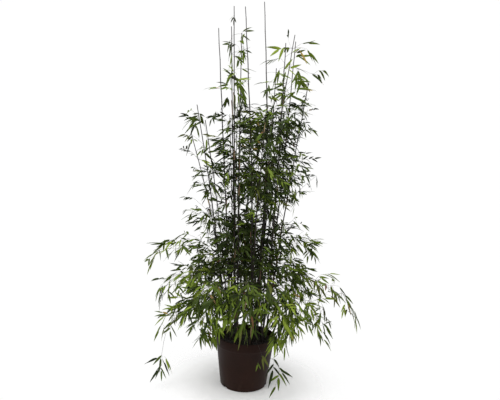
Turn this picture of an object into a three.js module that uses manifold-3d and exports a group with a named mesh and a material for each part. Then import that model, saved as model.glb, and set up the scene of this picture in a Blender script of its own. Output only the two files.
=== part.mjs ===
// A clump-forming bamboo in its round nursery pot: thin canes fan out of the compost, the
// tallest stand bare above the crown, and leafy sprays hang round the foot like a skirt.
// Millimetres, +Z up. The origin is the centre of the pot's flat underside, and -Y is the front.
import * as THREE from 'three';
import { mergeVertices } from 'three/addons/utils/BufferGeometryUtils.js';
import Module from 'manifold-3d';

const wasm = await Module();
wasm.setup();

// ---------------------------------------------------------------- driving dimensions

// The pot: a moulded tub with a broad band round its rim and arched drain notches at its foot.
const POT_HEIGHT = 255;
const POT_RIM_RADIUS = 150;
const POT_BAND_HEIGHT = 40;
const POT_BAND_STEP = 5;
const POT_WALL_TOP_RADIUS = POT_RIM_RADIUS - POT_BAND_STEP;
const POT_WALL_FOOT_RADIUS = 118;
const POT_FOOT_RADIUS = 114;
const POT_FOOT_CHAMFER = 6;
const POT_WALL = 3;
const POT_FLOOR = 4;
const POT_EDGE = 2;
const POT_SEGMENTS = 24;
const NOTCH_WIDTH = 26;
const NOTCH_HEIGHT = 20;
const NOTCH_DEPTH = 30;
const NOTCH_HEADINGS = [221, 341, 101];

// The compost fills the pot to a little below the rim.
const SOIL_TOP = 228;
const SOIL_CLEARANCE = 0.5;

// Canes: five-sided tapering tubes, cut flat at the compost.
const CANE_SIDES = 5;
const CANE_STEP = 400;
const CANE_TIP_RADIUS = 1.8;
const CANE_FOOT = SOIL_TOP + 0.3;

// Clearances: solids that meet stay this far apart, so none of them touch.
const LEAF_CLEARANCE = 1.2;
const CANE_CLEARANCE = 0.8;
const TUNNEL_SIDES = 3;

// How far the outline of a mass of leaves swells and shrinks, as a part of its half width.
const UNEVENNESS = 0.17;

const COLOURS = { pot: 0x33292a, soil: 0x17130f, cane: 0x2b2626, leaf: 0x47582c };

// ---------------------------------------------------------------- solids and meshes

// The closed solid of a three.js geometry, with its shared corners merged.
function toSolid(geometry) {
  const bare = geometry.clone();
  bare.deleteAttribute('normal');
  bare.deleteAttribute('uv');
  const merged = mergeVertices(bare, 1e-3);
  const corners = merged.index.array;
  const triangles = [];
  for (let i = 0; i < corners.length; i += 3) {
    const [a, b, c] = corners.slice(i, i + 3);
    if (a !== b && b !== c && c !== a) {
      triangles.push(a, b, c);
    }
  }
  return new wasm.Manifold(new wasm.Mesh({
    numProp: 3,
    vertProperties: new Float32Array(merged.attributes.position.array),
    triVerts: new Uint32Array(triangles),
  }));
}

// The geometry of a solid.
function toGeometry(solid) {
  const { vertProperties, triVerts } = solid.getMesh();
  const geometry = new THREE.BufferGeometry();
  geometry.setAttribute('position', new THREE.BufferAttribute(vertProperties, 3));
  geometry.setIndex(new THREE.BufferAttribute(triVerts, 1));
  geometry.computeVertexNormals();
  return geometry;
}

// The one piece of a cut solid that scores highest.
function bestPiece(solid, score) {
  const pieces = solid.decompose();
  return pieces.reduce((best, piece) => (score(piece) > score(best) ? piece : best));
}

const group = new THREE.Group();

function addMesh(name, solid, color, roughness) {
  const material = new THREE.MeshStandardMaterial({ color, roughness, metalness: 0 });
  const mesh = new THREE.Mesh(toGeometry(solid), material);
  mesh.name = name;
  group.add(mesh);
}

// A profile of [radius, height] pairs, turned round the Z axis.
function turned(profile) {
  const points = profile.map(([radius, height]) => new THREE.Vector2(radius, height));
  const lathe = new THREE.LatheGeometry(points, POT_SEGMENTS);
  return toSolid(lathe.rotateX(Math.PI / 2));
}

// ---------------------------------------------------------------- pot and compost

// The radius of the pot's outer wall at a height below the band.
function wallRadius(height) {
  const bandFoot = POT_HEIGHT - POT_BAND_HEIGHT;
  return THREE.MathUtils.mapLinear(height, 0, bandFoot, POT_WALL_FOOT_RADIUS, POT_WALL_TOP_RADIUS);
}

function makePot() {
  const bandFoot = POT_HEIGHT - POT_BAND_HEIGHT;
  const shell = turned([
    [0, 0],
    [POT_FOOT_RADIUS, 0],
    [wallRadius(POT_FOOT_CHAMFER), POT_FOOT_CHAMFER],
    [wallRadius(bandFoot), bandFoot],
    [POT_RIM_RADIUS - POT_EDGE, bandFoot + POT_EDGE],
    [POT_RIM_RADIUS, POT_HEIGHT - POT_EDGE],
    [POT_RIM_RADIUS - POT_EDGE, POT_HEIGHT],
    [POT_RIM_RADIUS - POT_WALL - POT_EDGE, POT_HEIGHT],
    [wallRadius(bandFoot) - POT_WALL, bandFoot - POT_EDGE],
    [wallRadius(POT_FLOOR) - POT_WALL, POT_FLOOR],
    [0, POT_FLOOR],
  ]);
  return NOTCH_HEADINGS.reduce((pot, heading) => pot.subtract(notchCutter(heading)), shell);
}

// An arched block that cuts one drain notch through the foot of the wall.
function notchCutter(heading) {
  const half = NOTCH_WIDTH / 2;
  const arch = new THREE.Shape();
  arch.moveTo(-half, -1);
  arch.lineTo(half, -1);
  arch.lineTo(half, NOTCH_HEIGHT - half);
  arch.absarc(0, NOTCH_HEIGHT - half, half, 0, Math.PI, false);
  const options = { depth: NOTCH_DEPTH, bevelEnabled: false, curveSegments: 4 };
  const block = new THREE.ExtrudeGeometry(arch, options);
  block.rotateX(Math.PI / 2);
  block.translate(0, POT_FOOT_RADIUS + NOTCH_DEPTH / 2, 0);
  block.rotateZ(THREE.MathUtils.degToRad(heading - 90));
  return toSolid(block);
}

function makeSoil() {
  const inset = POT_WALL + SOIL_CLEARANCE;
  const bottom = POT_FLOOR + SOIL_CLEARANCE;
  const bandFoot = POT_HEIGHT - POT_BAND_HEIGHT;
  return turned([
    [0, bottom],
    [wallRadius(bottom) - inset, bottom],
    [wallRadius(bandFoot) - inset, bandFoot - POT_EDGE],
    [wallRadius(bandFoot) - inset, SOIL_TOP],
    [0, SOIL_TOP],
  ]);
}

// ---------------------------------------------------------------- canes

// Each cane runs from its foot [x, y] on the compost to its tip [x, y, z]. Its middle is shifted
// by the bow [x, y] from the straight line, and butt is its radius at the foot.
const STANDING_CANES = [
  { name: 'cane_tall_1', foot: [-70, -22], tip: [-191, -30, 1764], bow: [0, 0], butt: 4.1 },
  { name: 'cane_tall_2', foot: [-46, 22], tip: [-133, 20, 1786], bow: [-3, 5], butt: 3.9 },
  { name: 'cane_tall_3', foot: [-52, -42], tip: [-121, -40, 1866], bow: [0, -10], butt: 4.4 },
  { name: 'cane_tall_4', foot: [-40, 56], tip: [-82, 52, 1764], bow: [-6, 8], butt: 3.9 },
  { name: 'cane_tall_5', foot: [28, -62], tip: [-67, -60, 1860], bow: [18, -6], butt: 4.6 },
  { name: 'cane_tall_6', foot: [36, -18], tip: [22, -20, 1897], bow: [42, -2], butt: 4.9 },
  { name: 'cane_leafy_1', foot: [60, 8], tip: [177, 10, 1757], bow: [-30, 4], butt: 4.1 },
  { name: 'cane_leafy_2', foot: [82, -44], tip: [131, -50, 1704], bow: [14, -8], butt: 3.9 },
  { name: 'cane_leafy_3', foot: [90, 42], tip: [186, 62, 1736], bow: [10, 6], butt: 4.1 },
  { name: 'cane_leafy_4', foot: [100, -8], tip: [256, 0, 1538], bow: [-10, 0], butt: 3.7 },
  { name: 'cane_leafy_5', foot: [44, 40], tip: [96, 44, 1600], bow: [8, 4], butt: 3.4 },
  { name: 'cane_arching_1', foot: [-104, -16], tip: [-281, -40, 1399], bow: [20, -4], butt: 3.7 },
  { name: 'cane_arching_2', foot: [-96, 30], tip: [-314, 44, 1264], bow: [33, 4], butt: 3.4 },
  { name: 'cane_arching_3', foot: [-86, 4], tip: [-243, 4, 1330], bow: [18, 2], butt: 3.2 },
];

// The short canes inside the clump stand on a spiral and end where they enter the leaves.
const INNER_CANES = 8;
const INNER_FOOT_RADIUS = [38, 96];
const INNER_SPREAD = 1.65;
const INNER_HEIGHT = 1350;
const INNER_BUTT = 4.1;
const SPIRAL_TURN = Math.PI * (3 - Math.sqrt(5));
const SPIRAL_START = 3.22;

function standingCurve({ foot, tip, bow }) {
  const start = new THREE.Vector3(foot[0], foot[1], CANE_FOOT);
  const end = new THREE.Vector3(...tip);
  const middle = start.clone().lerp(end, 0.5).add(new THREE.Vector3(bow[0], bow[1], 0));
  return new THREE.CatmullRomCurve3([start, middle, end]);
}

function innerCurve(index) {
  const angle = SPIRAL_START + index * SPIRAL_TURN;
  const share = Math.sqrt((index + 0.5) / INNER_CANES);
  const radius = THREE.MathUtils.lerp(...INNER_FOOT_RADIUS, share);
  const foot = [radius * Math.cos(angle), radius * Math.sin(angle)];
  const tip = [foot[0] * INNER_SPREAD, foot[1] * INNER_SPREAD, INNER_HEIGHT];
  return standingCurve({ foot, tip, bow: [0, 0] });
}

// A tapering tube round a curve, cut level at its foot and carried past its tip by overrun.
function taperedTube(curve, sides, butt, tip, overrun) {
  const steps = Math.round(curve.getLength() / CANE_STEP);
  const corners = [];
  for (let i = 0; i < sides; i += 1) {
    const angle = (2 * Math.PI * i) / sides;
    corners.push(new THREE.Vector2(Math.cos(angle), Math.sin(angle)));
  }
  const section = new THREE.Shape(corners);
  const tube = new THREE.ExtrudeGeometry(section, { steps, extrudePath: curve, bevelEnabled: false });
  const centres = curve.getSpacedPoints(steps);
  const position = tube.attributes.position;
  const point = new THREE.Vector3();
  for (let i = 0; i < position.count; i += 1) {
    point.fromBufferAttribute(position, i);
    const ring = nearest(centres, point);
    const radius = THREE.MathUtils.lerp(butt, tip, ring / steps);
    point.sub(centres[ring]).multiplyScalar(radius).add(centres[ring]);
    if (ring === 0) {
      point.z = CANE_FOOT;
    }
    if (ring === steps) {
      point.addScaledVector(curve.getTangent(1), overrun);
    }
    position.setXYZ(i, point.x, point.y, point.z);
  }
  return toSolid(tube);
}

function caneSolid(curve, butt) {
  return taperedTube(curve, CANE_SIDES, butt, CANE_TIP_RADIUS, 0);
}

// The three-sided way that a cane takes through the leaves, clear of it all round.
function tunnelSolid(curve, butt) {
  const cornerRadius = (radius) => (radius + CANE_CLEARANCE) / Math.cos(Math.PI / TUNNEL_SIDES);
  return taperedTube(curve, TUNNEL_SIDES, cornerRadius(butt), cornerRadius(CANE_TIP_RADIUS), CANE_CLEARANCE);
}

function nearest(centres, point) {
  const distances = centres.map((centre) => centre.distanceTo(point));
  return distances.indexOf(Math.min(...distances));
}

// ---------------------------------------------------------------- masses of leaves

// Each mass runs from its root [x, y, z] to its tip, bowed up and outwards by bow in the middle.
// wide is its half width, level and across that line, and deep its half depth square to both.

// The upper crown: the leaves on the tall canes, in a left and a right part with a gap between.
const CROWN = [
  { name: 'crown_left_low', root: [-92, 0, 1405], tip: [-98, 0, 1600], bow: 0, wide: 80, deep: 72 },
  { name: 'crown_left_high', root: [-88, -4, 1585], tip: [-94, -10, 1782], bow: 0, wide: 62, deep: 52 },
  { name: 'crown_right_low', root: [122, 0, 1405], tip: [164, 4, 1640], bow: 0, wide: 92, deep: 88 },
  { name: 'crown_right_high', root: [152, 8, 1600], tip: [186, 14, 1770], bow: 0, wide: 70, deep: 68 },
  { name: 'crown_right_edge', root: [214, 2, 1450], tip: [334, 0, 1610], bow: 14, wide: 50, deep: 38 },
];

// The column: two rings of four upright lobes round the clump, at the height of its thickest leaves.
const COLUMN_CENTRE = [64, 0];
const COLUMN_LEVELS = [
  { level: 'low', bottom: 900, top: 1225, ring: 116 },
  { level: 'high', bottom: 1180, top: 1430, ring: 112 },
];
const COLUMN_SIDES = [
  { side: 'front', heading: 270, wide: 116, deep: 80, lift: 0 },
  { side: 'right', heading: 0, wide: 96, deep: 92, lift: 24 },
  { side: 'back', heading: 90, wide: 118, deep: 84, lift: -18 },
  { side: 'left', heading: 180, wide: 98, deep: 96, lift: 6 },
];

// The waist: the dark foot of the column, where side branches crowd round the canes.
const WAIST = [
  { name: 'waist_left', root: [-62, 4, 570], tip: [-72, 4, 915], bow: 0, wide: 88, deep: 96 },
  { name: 'waist_right', root: [84, 0, 580], tip: [92, 0, 925], bow: 0, wide: 92, deep: 98 },
];

// Sprays on the arching canes at the left, and the shoulders between column and skirt.
const SHOULDERS = [
  { name: 'shoot_left_high', root: [-226, -20, 1190], tip: [-318, -30, 1410], bow: 30, wide: 52, deep: 42 },
  { name: 'shoot_left_low', root: [-164, 14, 930], tip: [-262, 30, 1190], bow: 10, wide: 66, deep: 52 },
  { name: 'shoulder_left', root: [-118, -4, 750], tip: [-300, -20, 880], bow: 40, wide: 72, deep: 54 },
  { name: 'shoulder_right', root: [160, 4, 770], tip: [312, -6, 870], bow: 50, wide: 66, deep: 54 },
  { name: 'shoulder_back', root: [10, 110, 720], tip: [0, 250, 860], bow: 50, wide: 110, deep: 84 },
];

// The skirt: arching sprays that leave the clump and hang outwards, some over the pot's rim.
const SKIRT_ROOT_RADIUS = 92;
const SKIRT = [
  { place: 'left_high', heading: 177, reach: 545, from: 600, to: 565, bow: 120, wide: 84, deep: 62 },
  { place: 'left_top', heading: 165, reach: 420, from: 760, to: 850, bow: 40, wide: 60, deep: 40 },
  { place: 'left', heading: 190, reach: 470, from: 520, to: 430, bow: 90, wide: 96, deep: 70 },
  { place: 'left_low', heading: 200, reach: 440, from: 420, to: 270, bow: 90, wide: 96, deep: 60 },
  { place: 'front_left', heading: 232, reach: 300, from: 560, to: 275, bow: 130, wide: 104, deep: 70 },
  { place: 'front', heading: 268, reach: 262, from: 580, to: 300, bow: 130, wide: 96, deep: 66 },
  { place: 'front_right', heading: 305, reach: 300, from: 570, to: 262, bow: 130, wide: 104, deep: 72 },
  { place: 'right_low', heading: 340, reach: 420, from: 480, to: 250, bow: 120, wide: 100, deep: 68 },
  { place: 'right_far', heading: 357, reach: 580, from: 560, to: 330, bow: 110, wide: 76, deep: 52 },
  { place: 'right_high', heading: 12, reach: 400, from: 620, to: 640, bow: 100, wide: 96, deep: 72 },
  { place: 'back_right', heading: 42, reach: 430, from: 520, to: 330, bow: 130, wide: 120, deep: 72 },
  { place: 'back', heading: 88, reach: 430, from: 540, to: 340, bow: 130, wide: 124, deep: 72 },
  { place: 'back_left', heading: 134, reach: 440, from: 530, to: 350, bow: 130, wide: 120, deep: 72 },
];

// Thin sprays that hang below the skirt.
const DANGLES = [
  { name: 'dangle_left', root: [-316, -98, 300], tip: [-440, -112, 72], bow: 0, wide: 34, deep: 26 },
  { name: 'dangle_right', root: [136, -204, 304], tip: [168, -206, 18], bow: 0, wide: 32, deep: 24 },
  { name: 'dangle_over_pot', root: [112, -200, 292], tip: [12, -196, 118], bow: 0, wide: 36, deep: 20 },
];

function columnLobes() {
  return COLUMN_LEVELS.flatMap(({ level, bottom, top, ring }) => (
    COLUMN_SIDES.map(({ side, heading, wide, deep, lift }) => {
      const angle = THREE.MathUtils.degToRad(heading);
      const x = COLUMN_CENTRE[0] + ring * Math.cos(angle);
      const y = COLUMN_CENTRE[1] + ring * Math.sin(angle);
      return {
        name: `column_${level}_${side}`,
        root: [x, y, bottom + lift],
        tip: [x, y, top + lift],
        bow: 0,
        wide,
        deep,
      };
    })
  ));
}

function skirtSprays() {
  return SKIRT.map(({ place, heading, reach, from, to, bow, wide, deep }) => {
    const angle = THREE.MathUtils.degToRad(heading);
    const along = [Math.cos(angle), Math.sin(angle)];
    return {
      name: `skirt_${place}`,
      root: [SKIRT_ROOT_RADIUS * along[0], SKIRT_ROOT_RADIUS * along[1], from],
      tip: [reach * along[0], reach * along[1], to],
      bow,
      wide,
      deep,
    };
  });
}

const MASSES = [...CROWN, ...columnLobes(), ...WAIST, ...SHOULDERS, ...skirtSprays(), ...DANGLES];

// The ball that a mass is drawn from, with fewer triangles for a thin one.
const BALL_DETAIL = 2;
const THIN_BALL_DETAIL = 1;
const THIN_MASS = 70;

function ballFor(mass) {
  const detail = mass.wide < THIN_MASS ? THIN_BALL_DETAIL : BALL_DETAIL;
  const ball = new THREE.IcosahedronGeometry(1, detail);
  ball.deleteAttribute('normal');
  ball.deleteAttribute('uv');
  return mergeVertices(ball, 1e-3);
}

// The level direction across a mass, and the one square to both. An upright mass takes the
// left-to-right direction as its width.
const UPRIGHT_SLOPE = 0.55;

function sectionAxes(along) {
  const upright = Math.hypot(along.x, along.y) < UPRIGHT_SLOPE * Math.abs(along.z);
  const guide = upright ? new THREE.Vector3(0, 1, 0) : new THREE.Vector3(0, 0, 1);
  const across = new THREE.Vector3().crossVectors(guide, along).normalize();
  return [across, new THREE.Vector3().crossVectors(along, across).normalize()];
}

// The waves that make a mass uneven: how fast each one runs over the ball, how far each seed
// shifts it, and its share of the whole.
const SWELL_WAVES = [
  { run: new THREE.Vector3(3.3, 0, 2.1), shift: 1.7, share: 0.6 },
  { run: new THREE.Vector3(0, 3.9, -2.7), shift: 2.9, share: 0.6 },
  { run: new THREE.Vector3(0, 0, 6.1), shift: 4.1, share: 0.5 },
];

function swelling(spot, seed) {
  const waves = SWELL_WAVES.map(({ run, shift, share }) => share * Math.sin(run.dot(spot) + seed * shift));
  return 1 + UNEVENNESS * waves.reduce((sum, wave) => sum + wave);
}

// The uneven body of one mass: the ball drawn out from root to tip, and bowed.
function massBody(mass, seed) {
  const root = new THREE.Vector3(...mass.root);
  const tip = new THREE.Vector3(...mass.tip);
  const along = tip.clone().sub(root).normalize();
  const [across, square] = sectionAxes(along);
  const body = ballFor(mass);
  const position = body.attributes.position;
  const spot = new THREE.Vector3();
  for (let i = 0; i < position.count; i += 1) {
    spot.fromBufferAttribute(position, i);
    const swell = swelling(spot, seed);
    const place = root.clone().lerp(tip, 0.5 + 0.5 * spot.z);
    place.addScaledVector(across, spot.x * mass.wide * swell);
    place.addScaledVector(square, spot.y * mass.deep * swell + mass.bow * (1 - spot.z * spot.z));
    position.setXYZ(i, place.x, place.y, place.z);
  }
  return body;
}

// The same body with its skin moved outwards.
function fattened(body, distance) {
  const fat = body.clone();
  fat.computeVertexNormals();
  const { position, normal } = fat.attributes;
  for (let i = 0; i < position.count; i += 1) {
    position.setXYZ(
      i,
      position.getX(i) + normal.getX(i) * distance,
      position.getY(i) + normal.getY(i) * distance,
      position.getZ(i) + normal.getZ(i) * distance,
    );
  }
  return fat;
}

// ---------------------------------------------------------------- the whole plant

function buildPlant() {
  const standing = STANDING_CANES.map((cane) => ({ ...cane, curve: standingCurve(cane) }));
  const tunnels = standing.map(({ curve, butt }) => tunnelSolid(curve, butt));
  const bodies = MASSES.map(massBody);
  const fatMasses = bodies.map((body) => toSolid(fattened(body, LEAF_CLEARANCE)));
  const volume = (piece) => piece.volume();
  const lowness = (piece) => -piece.boundingBox().min[2];

  standing.forEach(({ name, curve, butt }) => {
    addMesh(name, caneSolid(curve, butt), COLOURS.cane, 0.5);
  });
  for (let i = 0; i < INNER_CANES; i += 1) {
    const whole = caneSolid(innerCurve(i), INNER_BUTT);
    const cut = fatMasses.reduce((cane, mass) => cane.subtract(mass), whole);
    addMesh(`cane_inner_${i + 1}`, bestPiece(cut, lowness), COLOURS.cane, 0.5);
  }
  MASSES.forEach((mass, index) => {
    const cutters = [...fatMasses.slice(0, index), ...tunnels];
    const cut = cutters.reduce((rest, cutter) => rest.subtract(cutter), toSolid(bodies[index]));
    addMesh(mass.name, bestPiece(cut, volume), COLOURS.leaf, 0.6);
  });
}

addMesh('pot', makePot(), COLOURS.pot, 0.4);
addMesh('soil', makeSoil(), COLOURS.soil, 0.95);
buildPlant();

export default group;
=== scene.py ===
import math

import bmesh
import bpy
import numpy as np
from mathutils import Matrix, Vector
from mathutils.bvhtree import BVHTree


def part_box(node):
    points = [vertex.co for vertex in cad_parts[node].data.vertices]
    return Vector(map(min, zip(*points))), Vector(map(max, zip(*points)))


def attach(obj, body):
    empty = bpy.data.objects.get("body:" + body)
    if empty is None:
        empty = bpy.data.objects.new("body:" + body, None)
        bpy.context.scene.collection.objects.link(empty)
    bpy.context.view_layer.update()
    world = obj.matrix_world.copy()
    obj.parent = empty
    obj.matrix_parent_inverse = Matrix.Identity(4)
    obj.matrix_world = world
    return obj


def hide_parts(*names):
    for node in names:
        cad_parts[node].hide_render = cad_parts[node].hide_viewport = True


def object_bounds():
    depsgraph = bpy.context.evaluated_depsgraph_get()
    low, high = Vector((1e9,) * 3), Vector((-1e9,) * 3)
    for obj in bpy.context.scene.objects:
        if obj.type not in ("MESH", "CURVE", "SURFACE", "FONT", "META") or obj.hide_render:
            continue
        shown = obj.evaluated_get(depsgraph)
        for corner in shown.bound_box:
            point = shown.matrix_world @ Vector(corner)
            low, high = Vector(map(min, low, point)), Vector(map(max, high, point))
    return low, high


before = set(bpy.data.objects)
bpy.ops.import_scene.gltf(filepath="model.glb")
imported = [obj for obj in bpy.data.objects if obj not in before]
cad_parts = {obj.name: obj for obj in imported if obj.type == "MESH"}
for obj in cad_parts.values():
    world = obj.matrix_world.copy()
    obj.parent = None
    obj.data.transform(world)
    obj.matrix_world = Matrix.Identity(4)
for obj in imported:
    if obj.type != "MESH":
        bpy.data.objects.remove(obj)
cad_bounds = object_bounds()

# ---------------------------------------------------------------------------- the studio
# One camera a little above the middle of the plant, a plain pale floor that fades into a white
# backdrop, and soft light: a broad lamp overhead, one in front on the left, a weak one on the right.

EYE = Vector((-0.006, -2.5, 1.19))
EYE_TILT = math.radians(84.4)
EYE_ROLL = math.radians(2.5)
LENS = 36.288
FLOOR_SIZE = 4.0
FLOOR_FADE = (0.10, 0.72)
FLOOR_TINT = (0.93, 0.93, 0.92, 1)
BACKDROP_WHITE = 1.26
ROOM_LIGHT = 0.55
LAMP_AIM = Vector((0, 0, 0.9))
LAMPS = [
    ("lamp_above", (-0.5, -0.8, 4.0), 2.8, 105),
    ("lamp_left", (-2.3, -2.6, 2.6), 1.8, 62),
    ("lamp_right", (2.6, -2.2, 1.8), 2.0, 20),
]


class Wire:
    """A shader value that is added, multiplied and compared as a number is."""

    def __init__(self, tree, socket):
        self.tree = tree
        self.socket = socket

    def node(self, kind, settings, values, output):
        """A node of that kind: its settings first, then the values or wires of its sockets."""
        made = self.tree.nodes.new(kind)
        for name, value in settings.items():
            setattr(made, name, value)
        for name, value in values.items():
            if isinstance(value, Wire):
                self.tree.links.new(value.socket, made.inputs[name])
            else:
                made.inputs[name].default_value = value
        return Wire(self.tree, made.outputs[output])

    def math(self, operation, first, second):
        return self.node("ShaderNodeMath", {"operation": operation}, {0: first, 1: second}, 0)

    def __add__(self, other):
        return self.math("ADD", self, other)

    def __sub__(self, other):
        return self.math("SUBTRACT", self, other)

    def __rsub__(self, other):
        return self.math("SUBTRACT", other, self)

    def __mul__(self, other):
        return self.math("MULTIPLY", self, other)

    __radd__ = __add__
    __rmul__ = __mul__

    def between(self, low, high):
        """0 below low, 1 above high, and a smooth rise from one to the other."""
        ends = {"Value": self, "From Min": low, "From Max": high}
        return self.node("ShaderNodeMapRange", {"interpolation_type": "SMOOTHSTEP"}, ends, "Result")

    def blend(self, first, second):
        """The first colour where this is 0, and the second where it is 1."""
        ends = {0: self, 6: first, 7: second}
        return self.node("ShaderNodeMix", {"data_type": "RGBA"}, ends, 2)

    def stretched(self, scale):
        """Coordinates multiplied along each axis."""
        return self.node("ShaderNodeMapping", {}, {"Vector": self, "Scale": scale}, "Vector")

    def noise(self, scale, detail=3.0):
        """Soft noise at these coordinates, so many swells to the metre."""
        values = {"Vector": self, "Scale": scale, "Detail": detail, "Roughness": 0.55}
        return self.node("ShaderNodeTexNoise", {}, values, "Fac")

    def relief(self, depth, strength=1.0):
        """The bent normal of a surface with this height, times a depth in metres."""
        values = {"Height": self, "Distance": depth, "Strength": strength}
        return self.node("ShaderNodeBump", {}, values, "Normal")

    def feeds(self, shader, socket):
        self.tree.links.new(self.socket, shader.inputs[socket])


def new_finish(name, **constants):
    """A material, and its shader with these constant values."""
    material = bpy.data.materials.new(name)
    material.use_nodes = True
    shader = material.node_tree.nodes["Principled BSDF"]
    for socket, value in constants.items():
        shader.inputs[socket.replace("_", " ")].default_value = value
    return material, shader


def object_place(shader):
    """The wire of the object coordinates, in the tree of this shader."""
    tree = shader.id_data
    return Wire(tree, tree.nodes.new("ShaderNodeTexCoord").outputs["Object"])


bpy.ops.object.camera_add()
camera = bpy.context.object
tilted = Matrix.Translation(EYE) @ Matrix.Rotation(EYE_TILT, 4, "X")
camera.matrix_world = tilted @ Matrix.Rotation(EYE_ROLL, 4, "Z")
camera.data.lens = LENS
bpy.context.scene.camera = camera
bpy.context.scene.view_settings.view_transform = "Standard"

room = bpy.data.worlds.new("white_room")
room.use_nodes = True
world_nodes = room.node_tree.nodes
world_nodes["Background"].inputs["Color"].default_value = (1, 1, 1, 1)
world_nodes["Background"].inputs["Strength"].default_value = ROOM_LIGHT
dim = Wire(room.node_tree, world_nodes["Background"].outputs[0])
backdrop = dim.node("ShaderNodeBackground", {}, {"Strength": BACKDROP_WHITE}, 0)
seen = dim.node("ShaderNodeLightPath", {}, {}, "Is Camera Ray")
either = dim.node("ShaderNodeMixShader", {}, {0: seen, 1: dim, 2: backdrop}, 0)
either.feeds(world_nodes["World Output"], "Surface")
bpy.context.scene.world = room

for lamp_name, lamp_place, size, watts in LAMPS:
    bpy.ops.object.light_add(type="AREA", location=lamp_place)
    lamp = bpy.context.object
    lamp.name = lamp_name
    lamp.rotation_euler = (LAMP_AIM - Vector(lamp_place)).to_track_quat("-Z", "Y").to_euler()
    lamp.data.shape = "DISK"
    lamp.data.size = size
    lamp.data.energy = watts

bpy.ops.mesh.primitive_plane_add(size=FLOOR_SIZE)
floor = bpy.context.object
floor.name = "studio_floor"
floor_paint, shader = new_finish("floor_paint", Base_Color=FLOOR_TINT, Roughness=0.9)
place = object_place(shader)
away = place.node("ShaderNodeVectorMath", {"operation": "LENGTH"}, {0: place}, "Value")
nearness = 1 - away.between(*FLOOR_FADE)
(nearness * nearness).feeds(shader, "Alpha")
floor.data.materials.append(floor_paint)

# ------------------------------------------------------------------------------- the pot
# A round nursery tub, injection moulded in one piece of thin dark brown plastic. The wall
# flares to a broad band round the rim, and three arched drain notches open in its foot.

POT_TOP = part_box("pot")[1].z
RIM_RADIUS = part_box("pot")[1].x
BAND_HEIGHT = 0.040
BAND_STEP = 0.005
BAND_SLOPE = 0.009
BAND_DRAFT = 0.0012
BAND_INSIDE_BLEND = 0.002
WALL_FOOT_RADIUS = 0.118
FOOT_RADIUS = 0.114
FOOT_CHAMFER = 0.006
CHAMFER_EDGE = 0.0006
CHAMFER_FALL = 0.0014
POT_WALL = 0.003
POT_FLOOR = 0.004
POT_SIDES = 120
LIP_RADIUS = 0.0014
RECESS_RADIUS = 0.098
RECESS_DEPTH = 0.0015
NOTCH_WIDTH = 0.026
NOTCH_HEIGHT = 0.020
NOTCH_DEPTH = 0.030
NOTCH_HEADINGS = (221, 341, 101)
BAND_FOOT = POT_TOP - BAND_HEIGHT


def only(piece):
    """Selects one piece and nothing else, and makes it the active one."""
    bpy.ops.object.select_all(action="DESELECT")
    piece.select_set(True)
    bpy.context.view_layer.objects.active = piece


def pick(test):
    """In edit mode, selects the corners whose place passes the test."""
    shape = bmesh.from_edit_mesh(bpy.context.edit_object.data)
    for corner in shape.verts:
        corner.select_set(test(corner.co))
    shape.select_flush(True)
    bmesh.update_edit_mesh(bpy.context.edit_object.data)


def turned_body(name, sides, stations, fill="NGON"):
    """A round body: a disc, or a bare ring, extruded and resized through [radius, height] stations."""
    radius, height = stations[0]
    bpy.ops.object.select_all(action="DESELECT")
    bpy.ops.mesh.primitive_circle_add(vertices=sides, radius=radius, fill_type=fill)
    body = bpy.context.object
    body.name = name
    bpy.ops.object.mode_set(mode="EDIT")
    bpy.ops.mesh.select_all(action="SELECT")
    bpy.ops.transform.translate(value=(0, 0, height))
    for next_radius, next_height in stations[1:]:
        rise = {"value": (0, 0, next_height - height)}
        if fill == "NGON":
            bpy.ops.mesh.extrude_region_move(TRANSFORM_OT_translate=rise)
        else:
            bpy.ops.mesh.extrude_edges_move(TRANSFORM_OT_translate=rise)
        share = next_radius / radius
        bpy.ops.transform.resize(value=(share, share, 1))
        radius = next_radius
        height = next_height
    bpy.ops.mesh.select_all(action="SELECT")
    bpy.ops.mesh.normals_make_consistent(inside=False)
    bpy.ops.object.mode_set(mode="OBJECT")
    return body


def wall_radius(height):
    """The radius of the pot's outer wall, which flares up to the band."""
    top = RIM_RADIUS - BAND_STEP
    return WALL_FOOT_RADIUS + (top - WALL_FOOT_RADIUS) * height / BAND_FOOT


def rounded(radius, height, turn_from, turn_to, steps=4):
    """Stations round a small edge whose middle is at radius and height. Turns are in degrees."""
    turns = [math.radians(turn_from + (turn_to - turn_from) * i / steps) for i in range(steps + 1)]
    return [(radius + LIP_RADIUS * math.cos(a), height + LIP_RADIUS * math.sin(a)) for a in turns]


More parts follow.
